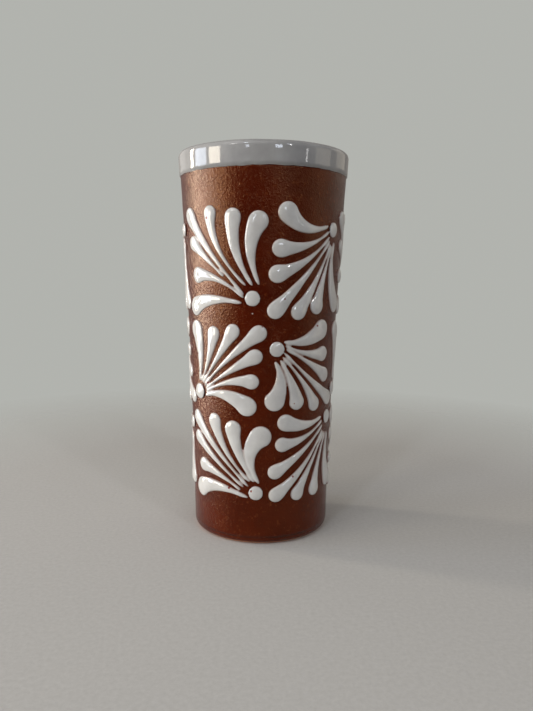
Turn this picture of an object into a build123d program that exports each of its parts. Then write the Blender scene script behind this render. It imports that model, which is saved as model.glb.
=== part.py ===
from build123d import *
from math import asin, cos, degrees, hypot, radians, sin
import os

# A thrown earthenware bud vase: a plain tapered cup of terracotta, coated
# outside with dark brown slip, lined and rimmed with white glaze, and painted
# with eighteen fans of thick white enamel, three rows of six. Millimetres,
# +Z up, origin at the middle of the foot. Turn angles run from the front (-Y)
# towards +X.

# ---- vessel ----
height = 112.0
foot_radius = 20.5
waist_radius = 22.0
rim_radius = 24.9
foot_corner_radius = 2.2
clay_wall = 2.4
clay_floor = 4.0
inner_corner_radius = 5.0
slip_thickness = 0.3
slip_start = 0.8
lining_thickness = 0.35
lip_thickness = 0.5
glaze_step = 0.22
band_height = 6.8
lip_radius = 1.6
clay_lip_radius = 1.0
glaze_edge_radius = 0.2

band_bottom = height - band_height
bore_inset = slip_thickness + clay_wall + lining_thickness
clay_top = height - lip_thickness

# ---- enamel strokes ----
dot_rise = 0.70
dome_shoulder = 0.3
stroke_rise = 0.68
tail_rise = 0.34
tail_half_width = 0.38
least_drop = 0.004
stroke_clearance = 0.02
straight_taper = 2.1
comma_taper = 1.15
body_steps = (0.03, 0.18, 0.36, 0.54, 0.72, 0.87, 1.0)
nose_steps = (30, 52, 70, 84)

# ---- columns of fans ----
front_start_turn = -65.0
back_start_turn = 65.5
front_pair_turn = back_start_turn - front_start_turn
back_pair_turn = (360.0 - front_pair_turn) / 2
back_squeeze = back_pair_turn / front_pair_turn
back_brush = 0.92

# Each fan is one dot and seven strokes pulled in towards it. A dot is (turn,
# height, radius). A stroke is (tail turn, tail height, middle turn, middle
# height, head turn, head height, head radius, taper).
left_upper_dot = (-6.4, 70.6, 2.15)
left_upper = [
    (-14.0, 69.3, -37.0, 70.0, -55.8, 67.9, 2.80, comma_taper),
    (-12.5, 70.75, -31.6, 75.5, -51.4, 76.75, 2.40, straight_taper),
    (-27.0, 76.4, -41.0, 81.1, -55.2, 85.5, 2.15, straight_taper),
    (-12.5, 71.6, -38.0, 83.0, -58.6, 93.1, 2.45, straight_taper),
    (-11.0, 74.0, -31.0, 84.0, -37.0, 93.4, 2.15, straight_taper),
    (-6.4, 74.0, -17.6, 83.0, -19.6, 92.25, 2.40, comma_taper),
    (-1.95, 74.25, -7.6, 83.3, -2.6, 91.1, 2.80, comma_taper),
]
right_upper_dot = (56.5, 89.6, 2.15)
right_upper = [
    (50.2, 90.5, 31.0, 89.6, 16.7, 93.5, 2.90, comma_taper),
    (51.1, 89.0, 32.7, 85.2, 12.5, 84.1, 2.55, straight_taper),
    (52.4, 87.6, 31.4, 81.0, 10.5, 77.25, 2.55, straight_taper),
    (53.2, 86.6, 32.0, 77.0, 9.5, 67.4, 2.40, straight_taper),
    (54.2, 85.7, 40.9, 75.75, 26.5, 67.0, 2.35, straight_taper),
    (55.6, 85.2, 47.8, 76.0, 42.5, 68.6, 2.55, straight_taper),
    (58.75, 86.25, 57.5, 77.0, 66.5, 69.0, 2.80, comma_taper),
]
left_middle_dot = (-54.9, 43.4, 2.35)
left_middle = [
    (-54.5, 46.4, -52.6, 54.0, -56.4, 61.25, 2.85, comma_taper),
    (-52.2, 46.4, -43.7, 52.5, -37.3, 60.6, 2.20, straight_taper),
    (-50.4, 45.9, -34.8, 53.5, -21.0, 61.5, 2.15, straight_taper),
    (-48.8, 45.2, -24.0, 54.0, -2.1, 61.1, 2.35, straight_taper),
    (-47.4, 44.4, -25.3, 50.0, -4.6, 54.65, 2.20, straight_taper),
    (-46.6, 43.6, -26.5, 47.0, -7.2, 47.65, 2.20, straight_taper),
    (-47.6, 42.5, -29.0, 43.5, -10.6, 40.6, 2.85, comma_taper),
]
right_middle_dot = (11.0, 56.75, 2.15)
right_middle = [
    (16.1, 58.75, 32.6, 58.9, 48.9, 61.75, 2.95, comma_taper),
    (17.4, 57.7, 33.9, 55.4, 51.7, 54.75, 2.30, straight_taper),
    (18.0, 56.7, 37.7, 52.5, 55.6, 48.5, 2.20, straight_taper),
    (16.6, 55.7, 40.3, 47.5, 63.8, 41.25, 2.25, straight_taper),
    (15.4, 54.6, 33.3, 46.75, 44.4, 40.5, 2.20, straight_taper),
    (13.8, 53.8, 23.1, 46.9, 27.6, 41.75, 2.40, comma_taper),
    (9.8, 53.4, 14.2, 47.7, 10.1, 42.25, 2.95, comma_taper),
]
left_lower_dot = (-3.6, 15.6, 2.10)
left_lower = [
    (-9.6, 14.2, -35.4, 16.3, -55.2, 14.6, 2.90, comma_taper),
    (-15.7, 16.3, -32.9, 19.75, -51.7, 21.75, 2.15, straight_taper),
    (-13.2, 17.2, -38.0, 24.25, -59.0, 29.65, 2.05, straight_taper),
    (-9.4, 17.4, -35.4, 26.9, -60.3, 35.5, 2.20, straight_taper),
    (-8.2, 18.9, -27.8, 27.25, -38.2, 35.65, 2.25, straight_taper),
    (-5.1, 18.8, -17.0, 27.0, -21.7, 33.9, 2.50, comma_taper),
    (-1.1, 18.4, -8.3, 26.0, -0.2, 32.0, 3.15, comma_taper),
]
right_lower_dot = (63.8, 35.6, 2.10)
right_lower = [
    (54.3, 36.2, 36.5, 34.7, 18.9, 35.9, 2.50, comma_taper),
    (56.0, 35.0, 35.2, 31.0, 16.7, 29.6, 2.20, straight_taper),
    (57.0, 33.6, 33.9, 27.0, 11.3, 21.75, 2.20, straight_taper),
    (57.5, 32.2, 35.2, 22.5, 12.3, 15.0, 2.20, straight_taper),
    (59.6, 31.6, 41.6, 21.7, 30.4, 14.75, 2.15, straight_taper),
    (61.9, 31.25, 52.4, 22.5, 48.2, 15.0, 2.20, straight_taper),
    (65.6, 31.0, 64.0, 23.0, 70.0, 16.5, 2.80, comma_taper),
]
# A speck of enamel dripped under the left upper dot.
stray_speck = (-6.4, 66.5, 0.35)
speck_rise = 0.2

# Round the back there is less room, so the strokes that reach furthest are drawn shorter.
left_upper_back = [(-14.0, 69.3, -31.0, 70.0, -47.0, 67.9, 2.70, comma_taper), *left_upper[1:]]
right_upper_back = [*right_upper[:-1], (57.6, 86.25, 54.5, 77.0, 59.5, 69.0, 2.50, comma_taper)]
left_lower_back = [
    (-9.6, 14.2, -27.0, 15.6, -41.5, 14.4, 2.60, comma_taper),
    (-15.7, 16.3, -31.0, 19.6, -47.0, 21.4, 2.10, straight_taper),
    (-13.2, 17.2, -34.0, 24.0, -50.0, 29.3, 2.05, straight_taper),
    (-9.4, 17.4, -32.0, 26.6, -50.5, 35.3, 2.10, straight_taper),
    (-8.2, 18.9, -25.0, 27.25, -34.5, 35.65, 2.20, straight_taper),
    (-5.1, 18.8, -14.5, 27.0, -18.5, 33.9, 2.40, comma_taper),
    left_lower[-1],
]
right_lower_back_dot = (57.0, 33.0, 2.10)
right_lower_back = [
    (48.0, 34.2, 33.0, 33.6, 18.9, 35.5, 2.40, comma_taper),
    (49.5, 33.0, 32.5, 30.0, 16.7, 29.3, 2.15, straight_taper),
    (50.5, 31.6, 31.5, 26.2, 11.3, 21.75, 2.15, straight_taper),
    (51.0, 30.2, 32.5, 21.8, 12.3, 15.0, 2.15, straight_taper),
    (53.0, 29.4, 37.5, 21.2, 27.0, 14.75, 2.10, straight_taper),
    (55.0, 29.0, 46.0, 21.8, 43.0, 15.0, 2.15, straight_taper),
    (57.6, 29.0, 55.0, 22.0, 57.0, 16.0, 2.30, comma_taper),
]

front_left_fans = {
    "upper": (left_upper_dot, left_upper),
    "middle": (left_middle_dot, left_middle),
    "lower": (left_lower_dot, left_lower),
}
front_right_fans = {
    "upper": (right_upper_dot, right_upper),
    "middle": (right_middle_dot, right_middle),
    "lower": (right_lower_dot, right_lower),
}
back_left_fans = {
    "upper": (left_upper_dot, left_upper_back),
    "middle": (left_middle_dot, left_middle),
    "lower": (left_lower_dot, left_lower_back),
}
back_right_fans = {
    "upper": (right_upper_dot, right_upper_back),
    "middle": (right_middle_dot, right_middle),
    "lower": (right_lower_back_dot, right_lower_back),
}

# ---- profiles ----
def wall_outline(inset, bottom, top, corner=0.0):
    """Half section of the tapered body, inset from the finished wall, with an optional round foot."""
    with BuildSketch() as outline:
        with BuildLine():
            wall = ThreePointArc(
                (foot_radius - inset, 0), (waist_radius - inset, height / 2), (rim_radius - inset, height)
            )
            Polyline(wall @ 1, (0, height), (0, 0), wall @ 0)
        make_face()
        with Locations((0, bottom)):
            Rectangle(2 * rim_radius, top - bottom, align=(Align.MIN, Align.MIN), mode=Mode.INTERSECT)
        if corner:
            fillet(outline.vertices().group_by(Axis.Y)[0].sort_by(Axis.X)[-1], corner)
    return outline.sketch


def round_lip(section, radius):
    """Round both edges of the wall's top."""
    top_corners = section.vertices().group_by(Axis.Y)[-1]
    fillet(top_corners, radius)


# ---- clay ----
with BuildPart() as clay_body:
    with BuildSketch(Plane.XZ) as clay_section:
        add(wall_outline(slip_thickness, 0, clay_top, foot_corner_radius - slip_thickness))
        add(
            wall_outline(slip_thickness + clay_wall, clay_floor, height, inner_corner_radius),
            mode=Mode.SUBTRACT,
        )
        round_lip(clay_section, clay_lip_radius)
    revolve(axis=Axis.Z)

# ---- brown slip: a skin outside the clay, up to the glaze band ----
with BuildPart() as brown_slip_coat:
    with BuildSketch(Plane.XZ):
        add(wall_outline(0, 0, band_bottom, foot_corner_radius))
        add(wall_outline(0, 0, slip_start), mode=Mode.SUBTRACT)
        add(wall_outline(slip_thickness + clay_wall / 2, 0, height), mode=Mode.SUBTRACT)
    revolve(axis=Axis.Z)
    add(clay_body.part, mode=Mode.SUBTRACT)

# ---- white glaze: the lining, the lip and the band below it ----
with BuildPart() as white_glaze_lining:
    with BuildSketch(Plane.XZ) as glaze_section:
        add(wall_outline(-glaze_step, band_bottom, height, glaze_edge_radius))
        add(wall_outline(slip_thickness + clay_wall / 2, clay_floor / 2, height))
        add(
            wall_outline(bore_inset, clay_floor + lining_thickness, height, inner_corner_radius),
            mode=Mode.SUBTRACT,
        )
        round_lip(glaze_section, lip_radius)
    revolve(axis=Axis.Z)
    add(clay_body.part, mode=Mode.SUBTRACT)

# ---- enamel strokes ----
wall_line = ThreePointArc((0, -foot_radius, 0), (0, -waist_radius, height / 2), (0, -rim_radius, height))


def on_wall(turn, level):
    """The point of the wall at a turn angle and a height."""
    return (wall_line @ (level / height)).rotate(Axis.Z, turn)


def straight_out(turn, level):
    """The direction square to the wall there."""
    up = wall_line % (level / height)
    return Vector(0, -up.Z, up.Y).rotate(Axis.Z, turn)


def resting(turn, level):
    """A point just clear of the wall."""
    return on_wall(turn, level) + straight_out(turn, level) * stroke_clearance


def degrees_per_mm(level):
    return degrees(1 / abs((wall_line @ (level / height)).Y))


def enamel_dome(turn, level, radius, rise):
    """A drop of enamel, a quarter of an ellipse spun about the line straight out of the wall."""
    out = straight_out(turn, level)
    base = resting(turn, level)
    side = out.cross(Vector(0, 0, 1)).normalized()
    with BuildPart() as dome:
        with BuildSketch(Plane(origin=base, x_dir=side, z_dir=side.cross(out))):
            with BuildLine():
                shoulder = rise * dome_shoulder
                crown_radius = (radius**2 + (rise - shoulder) ** 2) / 2 / (rise - shoulder)
                crown_span = degrees(asin(radius / crown_radius))
                crown = CenterArc((0, rise - crown_radius), crown_radius, 90, -crown_span)
                Polyline(crown @ 1, (radius, 0), (0, 0), crown @ 0)
            make_face()
        revolve(axis=Axis(base, out))
    return dome.part


def stroke_stations(stroke):
    """Turn, height, half width and rise of each section, from the tail to the nose."""
    tail_turn, tail_level, mid_turn, mid_level, head_turn, head_level, radius, taper = stroke
    pull_turn = 2 * mid_turn - (tail_turn + head_turn) / 2
    pull_level = 2 * mid_level - (tail_level + head_level) / 2
    stations = [(tail_turn, tail_level, tail_half_width / 2, tail_rise / 2)]
    for along in body_steps:
        back = 1 - along
        turn = back * back * tail_turn + 2 * along * back * pull_turn + along * along * head_turn
        level = back * back * tail_level + 2 * along * back * pull_level + along * along * head_level
        swell = along**taper
        half_width = tail_half_width + (radius - tail_half_width) * swell
        stations.append((turn, level, half_width, tail_rise + (stroke_rise - tail_rise) * swell))
    run_turn = (head_turn - pull_turn) / degrees_per_mm(head_level)
    run_level = head_level - pull_level
    run = hypot(run_turn, run_level)
    for angle in nose_steps:
        ahead = radius * sin(radians(angle)) / run
        turn = head_turn + ahead * run_turn * degrees_per_mm(head_level)
        level = head_level + ahead * run_level
        shrink = cos(radians(angle))
        rise = stroke_rise * shrink**0.8
        stations.append((turn, level, radius * shrink, rise))
    return stations


def enamel_stroke(stroke):
    """A teardrop lofted along the wall, its underside curved to lie on it, from the tail to a round head."""
    stations = stroke_stations(stroke)
    centres = [resting(turn, level) for turn, level, half_width, rise in stations]
    behind = [centres[0], *centres]
    ahead = [*centres[1:], centres[-1]]
    with BuildPart() as petal:
        for i, (turn, level, half_width, rise) in enumerate(stations):
            out = straight_out(turn, level)
            side = (ahead[i] - behind[i]).cross(out).normalized()
            bulge = (1 - side.Z**2) / abs((wall_line @ (level / height)).Y)
            drop = max(bulge * half_width**2 / 2, least_drop * half_width)
            with BuildSketch(Plane(origin=centres[i], x_dir=side, z_dir=side.cross(out))):
                with BuildLine():
                    crown = EllipticalCenterArc((0, -drop), half_width, rise + drop, 0, arc_size=180)
                    ThreePointArc(crown @ 1, (0, 0), crown @ 0)
                make_face()
        loft()
    return petal.part


def moved(turn, start_turn, squeeze):
    """A turn angle of the front pair of columns, carried to the pair that starts at start_turn."""
    return start_turn + (turn - front_start_turn) * squeeze


def moved_dot(dot, start_turn, squeeze, brush):
    turn, level, radius = dot
    return moved(turn, start_turn, squeeze), level, radius * brush


def moved_stroke(stroke, start_turn, squeeze, brush):
    tail_turn, tail_level, mid_turn, mid_level, head_turn, head_level, radius, taper = stroke
    return (
        moved(tail_turn, start_turn, squeeze),
        tail_level,
        moved(mid_turn, start_turn, squeeze),
        mid_level,
        moved(head_turn, start_turn, squeeze),
        head_level,
        radius * brush,
        taper,
    )


# ---- fans: the front pair of columns, then two closer pairs round the back ----
front_pair = (front_start_turn, 1.0, 1.0)
second_pair = (back_start_turn, back_squeeze, back_brush)
third_pair = (back_start_turn + back_pair_turn, back_squeeze, back_brush)
columns = [
    (front_left_fans, front_pair),
    (front_right_fans, front_pair),
    (back_left_fans, second_pair),
    (back_right_fans, second_pair),
    (back_left_fans, third_pair),
    (back_right_fans, third_pair),
]
fans = []
for column, (column_fans, place) in enumerate(columns, start=1):
    for row, (dot, strokes) in column_fans.items():
        drops = [enamel_dome(*moved_dot(dot, *place), dot_rise)]
        if column == 1 and row == "upper":
            drops.append(enamel_dome(*stray_speck, speck_rise))
        petals = [enamel_stroke(moved_stroke(stroke, *place)) for stroke in strokes]
        solids = [solid for drop in drops + petals for solid in drop.solids()]
        fans.append(Compound(label=f"enamel_fan_{row}_{column}", children=solids))

# ---- write ----
clay_body.part.label = "clay_body"
brown_slip_coat.part.label = "brown_slip_coat"
white_glaze_lining.part.label = "white_glaze_lining"

os.makedirs("parts", exist_ok=True)
for piece in (clay_body.part, brown_slip_coat.part, white_glaze_lining.part, *fans):
    export_step(piece, f"parts/{piece.label}.step")
    print(piece.label, "solids", len(piece.solids()), "volume", round(piece.volume, 2))
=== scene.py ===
import math

import bmesh
import bpy
from mathutils import Matrix, Vector, noise


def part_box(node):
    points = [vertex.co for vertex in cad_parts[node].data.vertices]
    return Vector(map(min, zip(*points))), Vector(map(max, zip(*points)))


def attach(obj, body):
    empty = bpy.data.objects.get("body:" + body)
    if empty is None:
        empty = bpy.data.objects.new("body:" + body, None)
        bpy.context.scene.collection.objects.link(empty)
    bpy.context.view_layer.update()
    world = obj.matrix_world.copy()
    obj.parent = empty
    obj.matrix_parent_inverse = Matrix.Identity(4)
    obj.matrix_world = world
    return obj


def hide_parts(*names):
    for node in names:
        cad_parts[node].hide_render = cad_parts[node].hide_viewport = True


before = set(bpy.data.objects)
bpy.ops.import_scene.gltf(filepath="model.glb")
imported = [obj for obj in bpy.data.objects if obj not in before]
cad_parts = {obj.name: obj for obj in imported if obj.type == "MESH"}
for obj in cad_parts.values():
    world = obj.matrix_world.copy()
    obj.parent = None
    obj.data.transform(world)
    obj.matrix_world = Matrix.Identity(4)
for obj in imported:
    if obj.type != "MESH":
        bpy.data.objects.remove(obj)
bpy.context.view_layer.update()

MM = 0.001

# ---------------------------------------------------------------------------
# Sizes, read from the frame or the same as the potter's own
# ---------------------------------------------------------------------------
COAT_LOW, COAT_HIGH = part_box("brown_slip_coat")
GLAZE_LOW, GLAZE_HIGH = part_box("white_glaze_lining")
CLAY_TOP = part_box("clay_body")[1].z

HEIGHT = GLAZE_HIGH.z
FOOT_RADIUS = 20.5 * MM
WAIST_RADIUS = 22.0 * MM
RIM_RADIUS = 24.9 * MM
FOOT_CORNER = 2.2 * MM
SLIP = 0.3 * MM
CLAY = 2.4 * MM
LINING = 0.35 * MM
BORE_INSET = SLIP + CLAY + LINING
FLOOR_TOP = GLAZE_LOW.z + LINING
INNER_CORNER = 5.0 * MM
SLIP_START = COAT_LOW.z
BAND_BOTTOM = COAT_HIGH.z
BAND_STEP = 0.22 * MM
LIP_RADIUS = 1.6 * MM
SPIN_STEPS = 288
RING_GAP = 0.9 * MM
CLAY_LIP = 1.0 * MM
OVERLAP = 0.6 * MM

WIRE_RIPPLE, WIRE_PITCH = 0.06 * MM, 0.9 * MM
THROWING_RING, THROWING_PITCH = 0.018 * MM, 1.15 * MM
BRUSH_WAVER, BRUSH_SPAN = 0.06 * MM, 9 * MM
GLAZE_WAVER, GLAZE_SPAN = 0.045 * MM, 7 * MM
LIP_WAVER, LIP_SPAN = 0.10 * MM, 11 * MM
GLAZE_SAG, SAG_SPAN = 0.05 * MM, 0.7 * MM
GLAZE_BEAD = 0.26 * MM
SETTLE = 0.02 * MM


def wall_radius(z):
    """Radius of the finished wall at a height, through the foot, the waist and the rim."""
    t = z / HEIGHT
    return (
        FOOT_RADIUS * (1 - t) * (1 - 2 * t) + 4 * WAIST_RADIUS * t * (1 - t) + RIM_RADIUS * t * (2 * t - 1)
    )


# ---------------------------------------------------------------------------
# Turned pieces
# ---------------------------------------------------------------------------
def wall_run(inset, low, high):
    """Points up the wall, from low to high, inset from the finished surface."""
    count = max(2, round(abs(high - low) / RING_GAP))
    heights = [low + (high - low) * i / count for i in range(count + 1)]
    return [(wall_radius(z) - inset, z) for z in heights]


def round_corner(centre, radius, start, end, count=8):
    """Points on a quarter round, its angles in degrees from straight out."""
    angles = [math.radians(start + (end - start) * i / count) for i in range(count + 1)]
    return [(centre[0] + radius * math.cos(a), centre[1] + radius * math.sin(a)) for a in angles]


def flat_run(start, end, gap=1.5 * MM):
    """Points along a straight line."""
    length = math.hypot(end[0] - start[0], end[1] - start[1])
    count = max(1, round(length / gap))
    return [
        (start[0] + (end[0] - start[0]) * i / count, start[1] + (end[1] - start[1]) * i / count)
        for i in range(count + 1)
    ]


def joined(*runs):
    """One profile from several runs, without repeated points."""
    profile = []
    for run in runs:
        for point in run:
            if not profile or math.dist(profile[-1], point) > 0.01 * MM:
                profile.append(point)
    return profile


def turn_on_wheel(profile, closed):
    """A bmesh spun from a half profile about the vase's axis."""
    bm = bmesh.new()
    verts = [bm.verts.new((r, 0, z)) for r, z in profile]
    edges = [bm.edges.new(pair) for pair in zip(verts, verts[1:])]
    if closed:
        edges.append(bm.edges.new((verts[-1], verts[0])))
    bmesh.ops.spin(
        bm,
        geom=verts + edges,
        cent=(0, 0, 0),
        axis=(0, 0, 1),
        angle=math.tau,
        steps=SPIN_STEPS,
        use_merge=True,
    )
    bmesh.ops.remove_doubles(bm, verts=bm.verts, dist=0.005 * MM)
    bmesh.ops.recalc_face_normals(bm, faces=bm.faces)
    return bm


def finish_piece(bm, name, material, slot, *nodes):
    """Make the bmesh an object that stands for its CAD nodes and rides on the vase."""
    mesh = bpy.data.meshes.new(name)
    bm.to_mesh(mesh)
    bm.free()
    mesh.polygons.foreach_set("use_smooth", [True] * len(mesh.polygons))
    mesh.materials.append(material)
    piece = bpy.data.objects.new(name, mesh)
    bpy.context.scene.collection.objects.link(piece)
    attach(piece, "root")
    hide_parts(*nodes)
    return piece


def waver(point, size, depth, seed):
    """A smooth random rise and fall over the surface."""
    shift = Vector((seed * 17.3, seed * 5.1, seed * 9.7))
    return depth * noise.noise(point / size + shift)


def push_out(vert, distance):
    """Move a point straight away from the vase's axis."""
    radius = math.hypot(vert.co.x, vert.co.y)
    if radius > 1 * MM:
        grow = (radius + distance) / radius
        vert.co.x *= grow
        vert.co.y *= grow


def clay_body(material):
    """The thrown cup: a flat wire-cut foot, a plain wall and a round lip, under its glazes."""
    foot_round = FOOT_CORNER - SLIP
    outside = wall_radius(0) - SLIP
    outer_top = wall_radius(CLAY_TOP) - SLIP
    inner_top = wall_radius(CLAY_TOP) - SLIP - CLAY
    floor = FLOOR_TOP - LINING
    inside = wall_radius(floor + INNER_CORNER) - SLIP - CLAY
    profile = joined(
        flat_run((0, 0), (outside - foot_round, 0)),
        round_corner((outside - foot_round, foot_round), foot_round, -90, 0),
        wall_run(SLIP + 0.01 * MM, foot_round, CLAY_TOP - CLAY_LIP),
        round_corner((outer_top - CLAY_LIP, CLAY_TOP - CLAY_LIP), CLAY_LIP, 0, 90),
        round_corner((inner_top + CLAY_LIP, CLAY_TOP - CLAY_LIP), CLAY_LIP, 90, 180),
        wall_run(SLIP + CLAY, CLAY_TOP - CLAY_LIP, floor + INNER_CORNER),
        round_corner((inside - INNER_CORNER, floor + INNER_CORNER), INNER_CORNER, 0, -90),
        flat_run((inside - INNER_CORNER, floor), (0, floor)),
    )
    bm = turn_on_wheel(profile, closed=False)
    for vert in bm.verts:
        radius = math.hypot(vert.co.x, vert.co.y)
        if vert.co.z < 0.05 * MM and radius < outside - foot_round:
            vert.co.z += WIRE_RIPPLE * (1 + math.sin(radius / WIRE_PITCH)) / 2
    return finish_piece(bm, "thrown_clay_body", material, "terracotta_clay", "clay_body")


def slip_coat(material):
    """The brushed slip: a thin skin with the faint unevenness of throwing and brushing."""
    corner_centre = (wall_radius(0) - FOOT_CORNER, FOOT_CORNER)
    start_angle = -math.degrees(math.acos((wall_edge_at(SLIP_START) - corner_centre[0]) / FOOT_CORNER))
    top = BAND_BOTTOM + OVERLAP
    outside = joined(
        round_corner(corner_centre, FOOT_CORNER, start_angle, 0),
        wall_run(0, FOOT_CORNER, top),
    )
    inside = joined(
        wall_run(SLIP - 0.02 * MM, top, FOOT_CORNER),
        round_corner(corner_centre, FOOT_CORNER - SLIP + 0.02 * MM, 0, start_angle),
    )
    bm = turn_on_wheel(joined(outside, inside), closed=True)
    for vert in bm.verts:
        radius = math.hypot(vert.co.x, vert.co.y)
        if radius > wall_radius(max(vert.co.z, 0)) - SLIP / 2:
            z = vert.co.z
            fade = min(1.0, z / (4 * MM))
            ring = THROWING_RING * math.sin(z / THROWING_PITCH + 2 * noise.noise(vert.co / (20 * MM)))
            push_out(vert, fade * (ring + waver(vert.co, BRUSH_SPAN, BRUSH_WAVER, 1) - SETTLE))
    return finish_piece(bm, "slip_coat", material, "brown_slip", "brown_slip_coat")


def wall_edge_at(z):
    """Radius of the rounded foot at a height below the top of its corner."""
    rise = FOOT_CORNER - z
    return wall_radius(0) - FOOT_CORNER + math.sqrt(FOOT_CORNER**2 - rise**2)


def band_edge(point):
    """How far the glaze band's lower edge wanders from level at this place round the vase."""
    turn = math.atan2(point.x, -point.y)
    slow = 0.18 * math.sin(turn + 0.6) + 0.10 * math.sin(3 * turn + 1.1)
    round_place = Vector((math.cos(turn), math.sin(turn), 0))
    quick = 0.20 * noise.noise(round_place * 7) + 0.10 * noise.noise(round_place * 23)
    return (slow + quick) * MM


def glaze(material):
    """The white glaze: lining, lip and a dipped band that ends in a soft raised bead."""
    out = -BAND_STEP
    bead = GLAZE_BEAD
    band_foot = wall_radius(BAND_BOTTOM) + BAND_STEP
    outer_top = wall_radius(HEIGHT - LIP_RADIUS) + BAND_STEP
    inner_top = wall_radius(HEIGHT - LIP_RADIUS) - BORE_INSET
    inside = wall_radius(FLOOR_TOP + INNER_CORNER) - BORE_INSET
    back_top = CLAY_TOP - CLAY_LIP
    back = SLIP + 0.05 * MM
    profile = joined(
        flat_run((0, FLOOR_TOP), (inside - INNER_CORNER, FLOOR_TOP)),
        round_corner((inside - INNER_CORNER, FLOOR_TOP + INNER_CORNER), INNER_CORNER, -90, 0),
        wall_run(BORE_INSET, FLOOR_TOP + INNER_CORNER, HEIGHT - LIP_RADIUS),
        round_corner((inner_top + LIP_RADIUS, HEIGHT - LIP_RADIUS), LIP_RADIUS, 180, 90, 12),
        round_corner((outer_top - LIP_RADIUS, HEIGHT - LIP_RADIUS), LIP_RADIUS, 90, 0, 12),
        wall_run(out, HEIGHT - LIP_RADIUS, BAND_BOTTOM + bead),
        round_corner((band_foot - bead, BAND_BOTTOM + bead), bead, 0, -90, 5),
        flat_run((band_foot - bead, BAND_BOTTOM), (wall_radius(BAND_BOTTOM) - back, BAND_BOTTOM)),
        wall_run(back, BAND_BOTTOM, back_top),
        flat_run((wall_radius(back_top) - back, back_top), (wall_radius(back_top) - SLIP - CLAY, back_top)),
        wall_run(SLIP + CLAY, back_top, FLOOR_TOP + INNER_CORNER),
        flat_run((inside - INNER_CORNER, FLOOR_TOP - LINING), (0, FLOOR_TOP - LINING)),
    )
    bm = turn_on_wheel(profile, closed=False)
    for vert in bm.verts:
        radius = math.hypot(vert.co.x, vert.co.y)
        z = vert.co.z
        if radius < wall_radius(z) - SLIP - CLAY / 2 or z < BAND_BOTTOM - 1 * MM:
            continue
        reach = min(1.0, max(0.0, (HEIGHT - 2 * MM - z) / (HEIGHT - 2 * MM - BAND_BOTTOM)))
        vert.co.z += band_edge(vert.co) * reach
        if radius > wall_radius(z):
            sag = GLAZE_SAG * math.exp(-(((z - BAND_BOTTOM - SAG_SPAN) / SAG_SPAN) ** 2))
            push_out(vert, sag + waver(vert.co, GLAZE_SPAN, GLAZE_WAVER, 2) - SETTLE)
        vert.co.z += waver(vert.co, LIP_SPAN, LIP_WAVER, 3) * (1 - reach)
    return finish_piece(bm, "glaze_lining_and_band", material, "white_glaze", "white_glaze_lining")


# ---------------------------------------------------------------------------
# Enamel
# ---------------------------------------------------------------------------
MELT_GRID = 0.21 * MM
UNDERSIDE = 0.06 * MM
KEYED_IN = 0.5 * MM
MELT_PASSES = 3
MERGE_DISTANCE = 0.0005 * MM
ENAMEL_SPAN, ENAMEL_WAVER = 2.6 * MM, 0.16
SWELL = 0.02 * MM


def applied_modifiers(piece):
    """Replace the piece's mesh with its mesh after modifiers."""
    depsgraph = bpy.context.evaluated_depsgraph_get()
    made = bpy.data.meshes.new_from_object(piece.evaluated_get(depsgraph))
    piece.modifiers.clear()
    piece.data = made


def melted_fan(node_name, material, seed):
    """One fan of enamel: its strokes let into the slip, melted together and slightly uneven."""
    name = node_name.replace("enamel_fan", "painted_fan")
    bm = bmesh.new()
    bm.from_mesh(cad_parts[node_name].data)
    bmesh.ops.remove_doubles(bm, verts=bm.verts, dist=MERGE_DISTANCE)
    for vert in bm.verts:
        if math.hypot(vert.co.x, vert.co.y) - wall_radius(vert.co.z) < UNDERSIDE:
            push_out(vert, -KEYED_IN)
    piece = finish_piece(bm, name, material, "white_enamel", node_name)
    melt = piece.modifiers.new("melt", "REMESH")
    melt.mode = "VOXEL"
    melt.voxel_size = MELT_GRID
    applied_modifiers(piece)
    bm = bmesh.new()
    bm.from_mesh(piece.data)
    for _ in range(MELT_PASSES):
        bmesh.ops.smooth_vert(
            bm, verts=bm.verts, factor=0.5, use_axis_x=True, use_axis_y=True, use_axis_z=True
        )
    thin = bm.verts.layers.float.new("enamel_depth")
    for vert in bm.verts:
        depth = math.hypot(vert.co.x, vert.co.y) - wall_radius(vert.co.z)
        if depth > 0:
            push_out(vert, waver(vert.co, ENAMEL_SPAN, ENAMEL_WAVER, seed) * depth + SWELL)
        vert[thin] = depth / MM
    bm.to_mesh(piece.data)
    bm.free()
    piece.data.polygons.foreach_set("use_smooth", [True] * len(piece.data.polygons))
    return piece


# ---------------------------------------------------------------------------
# Finishes
# ---------------------------------------------------------------------------
def effect(name, inputs, outputs):
    """An empty node group with named value inputs and outputs, and its two end nodes."""
    tree = bpy.data.node_groups.new(name, "ShaderNodeTree")
    for label, default in inputs:
        socket = tree.interface.new_socket(label, in_out="INPUT", socket_type="NodeSocketFloat")
        socket.default_value = default
    for label in outputs:
        tree.interface.new_socket(label, in_out="OUTPUT", socket_type="NodeSocketFloat")
    return tree, tree.nodes.new("NodeGroupInput"), tree.nodes.new("NodeGroupOutput")


def node(tree, kind, **settings):
    made = tree.nodes.new(kind)
    for label, value in settings.items():
        setattr(made, label, value)
    return made


def math_node(tree, operation, first, second, clamp=False):
    """A Math node; each side is a number or an output."""
    made = node(tree, "ShaderNodeMath", operation=operation, use_clamp=clamp)
    for socket, value in zip(made.inputs, (first, second)):
        if isinstance(value, (int, float)):
            socket.default_value = value
        else:
            tree.links.new(value, socket)
    return made.outputs[0]


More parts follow.
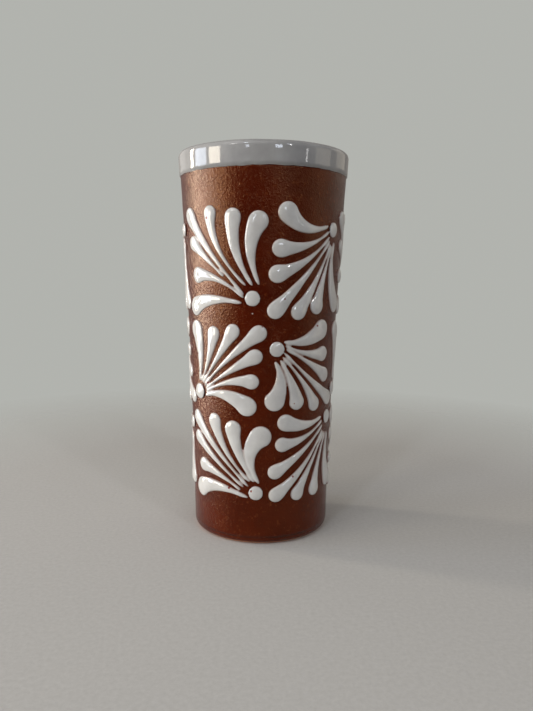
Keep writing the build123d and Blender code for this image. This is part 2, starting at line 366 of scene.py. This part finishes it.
def noise_node(tree, scale, detail=2.0, roughness=0.5, offset=(0, 0, 0)):
    """Noise on the piece's own coordinates; scale is a number or an output."""
    place = node(tree, "ShaderNodeTexCoord")
    shift = node(tree, "ShaderNodeMapping")
    shift.inputs["Location"].default_value = offset
    tree.links.new(place.outputs["Object"], shift.inputs["Vector"])
    made = node(tree, "ShaderNodeTexNoise")
    tree.links.new(shift.outputs[0], made.inputs["Vector"])
    made.inputs["Detail"].default_value = detail
    made.inputs["Roughness"].default_value = roughness
    if isinstance(scale, (int, float)):
        made.inputs["Scale"].default_value = scale
    else:
        tree.links.new(scale, made.inputs["Scale"])
    return made.outputs["Fac"]


def fired_grain():
    """Fine orange peel of a fired surface, with sparser pimples on it."""
    tree, given, result = effect("fired_grain", [("Scale", 2200), ("Pimples", 0.5)], ["Height", "Patch"])
    fine = noise_node(tree, given.outputs["Scale"], 3.0, 0.6)
    coarse_scale = math_node(tree, "MULTIPLY", given.outputs["Scale"], 0.55)
    coarse = noise_node(tree, coarse_scale, 1.0, 0.5, (0.3, 0.1, 0.7))
    raised = math_node(tree, "SUBTRACT", coarse, 0.50)
    raised = math_node(tree, "MULTIPLY", raised, 3.5, clamp=True)
    raised = math_node(tree, "MULTIPLY", raised, given.outputs["Pimples"])
    tree.links.new(math_node(tree, "ADD", fine, raised), result.inputs["Height"])
    patch = noise_node(tree, 95.0, 3.0, 0.55, (0.5, 0.2, 0.9))
    tree.links.new(patch, result.inputs["Patch"])
    return tree


def pinholes():
    """Scattered small pits, as a mask from 0 to 1."""
    tree, given, result = effect(
        "pinholes", [("Scale", 300), ("Share", 0.3), ("Size", 0.1)], ["Mask"]
    )
    place = node(tree, "ShaderNodeTexCoord")
    cells = node(tree, "ShaderNodeTexVoronoi")
    tree.links.new(place.outputs["Object"], cells.inputs["Vector"])
    tree.links.new(given.outputs["Scale"], cells.inputs["Scale"])
    lucky = node(tree, "ShaderNodeSeparateColor")
    tree.links.new(cells.outputs["Color"], lucky.inputs[0])
    chosen = math_node(tree, "LESS_THAN", lucky.outputs[0], given.outputs["Share"])
    reach = math_node(tree, "MULTIPLY", lucky.outputs[1], given.outputs["Size"])
    inside = math_node(tree, "SUBTRACT", reach, cells.outputs["Distance"])
    inside = math_node(tree, "MULTIPLY", inside, 25.0, clamp=True)
    tree.links.new(math_node(tree, "MULTIPLY", chosen, inside), result.inputs["Mask"])
    return tree


EFFECTS = {"grain": fired_grain(), "pits": pinholes()}


def finish(name, **constants):
    """A material with its Principled shader, its constant values set on the shader's own sockets."""
    material = bpy.data.materials.new(name)
    material.use_nodes = True
    tree = material.node_tree
    shader = tree.nodes["Principled BSDF"]
    for label, value in constants.items():
        shader.inputs[label.replace("_", " ")].default_value = value
    return material, tree, shader


def placed_effect(tree, key, **values):
    made = node(tree, "ShaderNodeGroup")
    made.node_tree = EFFECTS[key]
    for label, value in values.items():
        made.inputs[label].default_value = value
    return made


def between(tree, factor, low, high):
    """A colour between two, by a factor output; each colour is a triple or an output."""
    mix = node(tree, "ShaderNodeMix", data_type="RGBA")
    tree.links.new(factor, mix.inputs["Factor"])
    for socket, colour in ((mix.inputs[6], low), (mix.inputs[7], high)):
        if isinstance(colour, tuple):
            socket.default_value = (*colour, 1)
        else:
            tree.links.new(colour, socket)
    return mix.outputs[2]


def stretched(tree, value, low, high, to_low=0.0, to_high=1.0):
    """The value mapped from one range to another and held inside it."""
    made = node(tree, "ShaderNodeMapRange")
    tree.links.new(value, made.inputs["Value"])
    for label, number in zip(("From Min", "From Max", "To Min", "To Max"), (low, high, to_low, to_high)):
        made.inputs[label].default_value = number
    return made.outputs[0]


def bumped(tree, shader, height, distance, strength=1.0):
    bump = node(tree, "ShaderNodeBump")
    bump.inputs["Strength"].default_value = strength
    bump.inputs["Distance"].default_value = distance
    tree.links.new(height, bump.inputs["Height"])
    tree.links.new(bump.outputs[0], shader.inputs["Normal"])


def brown_slip_finish():
    material, tree, shader = finish("burnished_brown_slip", IOR=1.50, Specular_Tint=(1.0, 0.56, 0.28, 1))
    grain = placed_effect(tree, "grain", Scale=2500, Pimples=0.5)
    patch = stretched(tree, grain.outputs["Patch"], 0.35, 0.65)
    colour = between(tree, patch, (0.052, 0.0026, 0.0002), (0.077, 0.0062, 0.0006))
    dust = stretched(tree, noise_node(tree, 900.0, 2.0, 0.6, (0.8, 0.3, 0.1)), 0.60, 0.72)
    colour = between(tree, dust, colour, (0.11, 0.020, 0.005))
    tree.links.new(colour, shader.inputs["Base Color"])
    matt = stretched(tree, grain.outputs["Height"], 0.40, 0.90, 0.11, 0.27)
    tree.links.new(matt, shader.inputs["Roughness"])
    bumped(tree, shader, grain.outputs["Height"], 0.115 * MM)
    return material


def white_enamel_finish():
    material, tree, shader = finish("raised_white_enamel", IOR=1.58)
    depth = node(tree, "ShaderNodeAttribute", attribute_name="enamel_depth")
    depth_and_edge_shade = stretched(tree, depth.outputs["Fac"], 0.03, 0.36)
    cloud = stretched(tree, noise_node(tree, 240.0, 3.0, 0.6), 0.3, 0.7)
    thick_white = between(tree, cloud, (0.54, 0.53, 0.515), (0.63, 0.625, 0.61))
    # Thin enamel at the stroke edges turns brown: partly the slip showing through, partly painted shade for
    # the dark outline round each stroke.
    colour = between(tree, depth_and_edge_shade, (0.31, 0.20, 0.17), thick_white)
    pits = placed_effect(tree, "pits", Scale=330.0, Share=0.16, Size=0.20)
    colour = between(tree, pits.outputs["Mask"], colour, (0.20, 0.035, 0.03))
    tree.links.new(colour, shader.inputs["Base Color"])
    tree.links.new(stretched(tree, cloud, 0.0, 1.0, 0.035, 0.07), shader.inputs["Roughness"])
    dimple = math_node(tree, "SUBTRACT", noise_node(tree, 520.0, 1.0), pits.outputs["Mask"])
    bumped(tree, shader, dimple, 0.06 * MM)
    return material


def white_glaze_finish():
    material, tree, shader = finish("dipped_white_glaze", IOR=1.54)
    cloud = stretched(tree, noise_node(tree, 130.0, 4.0, 0.6), 0.3, 0.7)
    # The glaze is a light grey, darker than the enamel: partly the glaze's own tone, partly painted shade
    # for the dimmer light on the band.
    colour = between(tree, cloud, (0.31, 0.306, 0.306), (0.39, 0.385, 0.38))
    pits = placed_effect(tree, "pits", Scale=420.0, Share=0.10, Size=0.14)
    colour = between(tree, pits.outputs["Mask"], colour, (0.12, 0.07, 0.06))
    tree.links.new(colour, shader.inputs["Base Color"])
    tree.links.new(stretched(tree, cloud, 0.0, 1.0, 0.045, 0.09), shader.inputs["Roughness"])
    ripple = math_node(tree, "SUBTRACT", noise_node(tree, 260.0, 1.0), pits.outputs["Mask"])
    bumped(tree, shader, ripple, 0.03 * MM)
    return material


def terracotta_finish():
    material, tree, shader = finish("bare_terracotta", IOR=1.45)
    grain = placed_effect(tree, "grain", Scale=1800, Pimples=0.8)
    patch = stretched(tree, grain.outputs["Patch"], 0.3, 0.7)
    colour = between(tree, patch, (0.42, 0.16, 0.08), (0.55, 0.25, 0.13))
    pits = placed_effect(tree, "pits", Scale=700.0, Share=0.35, Size=0.22)
    colour = between(tree, pits.outputs["Mask"], colour, (0.20, 0.07, 0.035))
    tree.links.new(colour, shader.inputs["Base Color"])
    tree.links.new(stretched(tree, grain.outputs["Patch"], 0.3, 0.7, 0.78, 0.92), shader.inputs["Roughness"])
    bumped(tree, shader, grain.outputs["Height"], 0.06 * MM)
    return material


# ---------------------------------------------------------------------------
# The piece on its stand
# ---------------------------------------------------------------------------
clay_body(terracotta_finish())
slip_coat(brown_slip_finish())
glaze(white_glaze_finish())
enamel = white_enamel_finish()
fan_names = [name for name in sorted(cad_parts) if name.startswith("enamel_fan_")]
for number, fan_name in enumerate(fan_names):
    melted_fan(fan_name, enamel, number)


# ---------------------------------------------------------------------------
# Studio
# ---------------------------------------------------------------------------
FLOOR_FADE = (0.10, 0.24)
FLOOR_SIZE = 0.5
LENS, SENSOR = 32.4, 36.0
EYE_PLACE = (1.39 * MM, -195.5 * MM, 77.5 * MM)
EYE_PITCH, EYE_ROLL = math.radians(7.35), math.radians(0.55)
BACKDROP = (0.444, 0.452, 0.424)
FRONT_DIMNESS = (0.020, 0.021, 0.025)
ROOM_BEHIND = (0.25, 0.23, 0.21)


def floor():
    """A plain pale cloth that fades into the backdrop away from the vase."""
    bm = bmesh.new()
    bmesh.ops.create_circle(bm, cap_ends=True, segments=96, radius=FLOOR_SIZE)
    mesh = bpy.data.meshes.new("floor")
    bm.to_mesh(mesh)
    bm.free()
    material, tree, shader = finish("pale_cloth", Roughness=0.9, Specular_IOR_Level=0.2)
    weave = stretched(tree, noise_node(tree, 900.0, 4.0, 0.7), 0.3, 0.7)
    colour = between(tree, weave, (0.51, 0.505, 0.49), (0.58, 0.575, 0.56))
    tree.links.new(colour, shader.inputs["Base Color"])
    place = node(tree, "ShaderNodeTexCoord")
    away = node(tree, "ShaderNodeVectorMath", operation="LENGTH")
    tree.links.new(place.outputs["Object"], away.inputs[0])
    tree.links.new(stretched(tree, away.outputs["Value"], *FLOOR_FADE, 1.0, 0.0), shader.inputs["Alpha"])
    mesh.materials.append(material)
    cloth = bpy.data.objects.new("floor", mesh)
    bpy.context.scene.collection.objects.link(cloth)


def backdrop():
    """An even pale backdrop; the room in front of the vase is dimmer than what is behind it."""
    world = bpy.data.worlds.new("studio")
    world.use_nodes = True
    tree = world.node_tree
    tree.nodes.clear()
    place = node(tree, "ShaderNodeTexCoord")
    axes = node(tree, "ShaderNodeSeparateXYZ")
    tree.links.new(place.outputs["Generated"], axes.inputs[0])
    behind = stretched(tree, axes.outputs["Y"], -0.35, 0.55)
    above = stretched(tree, axes.outputs["Z"], 0.0, 0.9)
    share = math_node(tree, "MAXIMUM", behind, above)
    room = node(tree, "ShaderNodeBackground")
    tree.links.new(between(tree, share, FRONT_DIMNESS, ROOM_BEHIND), room.inputs["Color"])
    seen = node(tree, "ShaderNodeBackground")
    seen.inputs["Color"].default_value = (*BACKDROP, 1)
    path = node(tree, "ShaderNodeLightPath")
    choice = node(tree, "ShaderNodeMixShader")
    tree.links.new(path.outputs["Is Camera Ray"], choice.inputs[0])
    tree.links.new(room.outputs[0], choice.inputs[1])
    tree.links.new(seen.outputs[0], choice.inputs[2])
    result = node(tree, "ShaderNodeOutputWorld")
    tree.links.new(choice.outputs[0], result.inputs[0])
    bpy.context.scene.world = world


def lamp(name, turn, rise, distance, width, tall, radiance, colour):
    """A rectangular light at a turn from the front and an angle above level, facing the vase."""
    light = bpy.data.lights.new(name, "AREA")
    light.shape = "RECTANGLE"
    light.size, light.size_y = width, tall
    light.energy = radiance * math.pi * width * tall
    light.color = colour
    turn, rise = math.radians(turn), math.radians(rise)
    direction = Vector((math.sin(turn) * math.cos(rise), -math.cos(turn) * math.cos(rise), math.sin(rise)))
    middle = Vector((0, 0, HEIGHT * 0.6))
    stand = bpy.data.objects.new(name, light)
    stand.matrix_world = (
        Matrix.Translation(middle + direction * distance)
        @ (-direction).to_track_quat("-Z", "Y").to_matrix().to_4x4()
    )
    bpy.context.scene.collection.objects.link(stand)


def camera():
    """The eye: a little above the middle of the vase, looking slightly down."""
    lens = bpy.data.cameras.new("camera")
    lens.sensor_width = SENSOR
    lens.lens = LENS
    lens.clip_start = 0.01
    eye = bpy.data.objects.new("camera", lens)
    eye.matrix_world = (
        Matrix.Translation(EYE_PLACE)
        @ Matrix.Rotation(math.pi / 2 - EYE_PITCH, 4, "X")
        @ Matrix.Rotation(EYE_ROLL, 4, "Z")
    )
    bpy.context.scene.collection.objects.link(eye)
    bpy.context.scene.camera = eye


bpy.context.scene.view_settings.view_transform = "Standard"

CREAM = (1.0, 0.90, 0.74)
SKY = (0.79, 0.87, 1.0)
NEUTRAL = (1.0, 0.985, 0.96)

# name, turn and rise in degrees, distance, width and height in metres, radiance, colour
LAMPS = (
    ("left_back_wall", -138, 10, 0.90, 0.34, 0.50, 0.35, NEUTRAL),
    ("left_window_strip", -107, 3, 0.90, 0.09, 0.56, 31.0, CREAM),
    ("left_window_sky", -89, 3, 0.90, 0.31, 0.50, 8.2, SKY),
    ("left_window_wall", -66, 4, 0.90, 0.26, 0.36, 11.5, CREAM),
    ("far_left_pane", -20, 11, 1.0, 0.07, 0.12, 8.0, SKY),
    ("near_right_pane", 20, 12, 1.0, 0.15, 0.15, 11.0, SKY),
    ("right_pane", 57, 6, 1.0, 0.04, 0.16, 6.0, NEUTRAL),
    ("right_wall", 84, 4, 1.0, 0.46, 0.60, 0.9, CREAM),
    ("high_left_pane", -42, 32, 1.0, 0.14, 0.16, 10.0, NEUTRAL),
    ("high_right_pane", 35, 30, 1.0, 0.10, 0.14, 7.0, SKY),
    ("left_glint", -24, 36, 1.0, 0.055, 0.08, 65.0, SKY),
    ("right_glint", 36, 24, 1.0, 0.045, 0.08, 65.0, NEUTRAL),
    ("ceiling", -30, 58, 1.0, 0.9, 0.7, 0.80, NEUTRAL),
    ("back_right_fill", 125, 20, 1.0, 0.5, 0.5, 0.6, CREAM),
)

floor()
backdrop()
camera()
for row in LAMPS:
    lamp(*row)
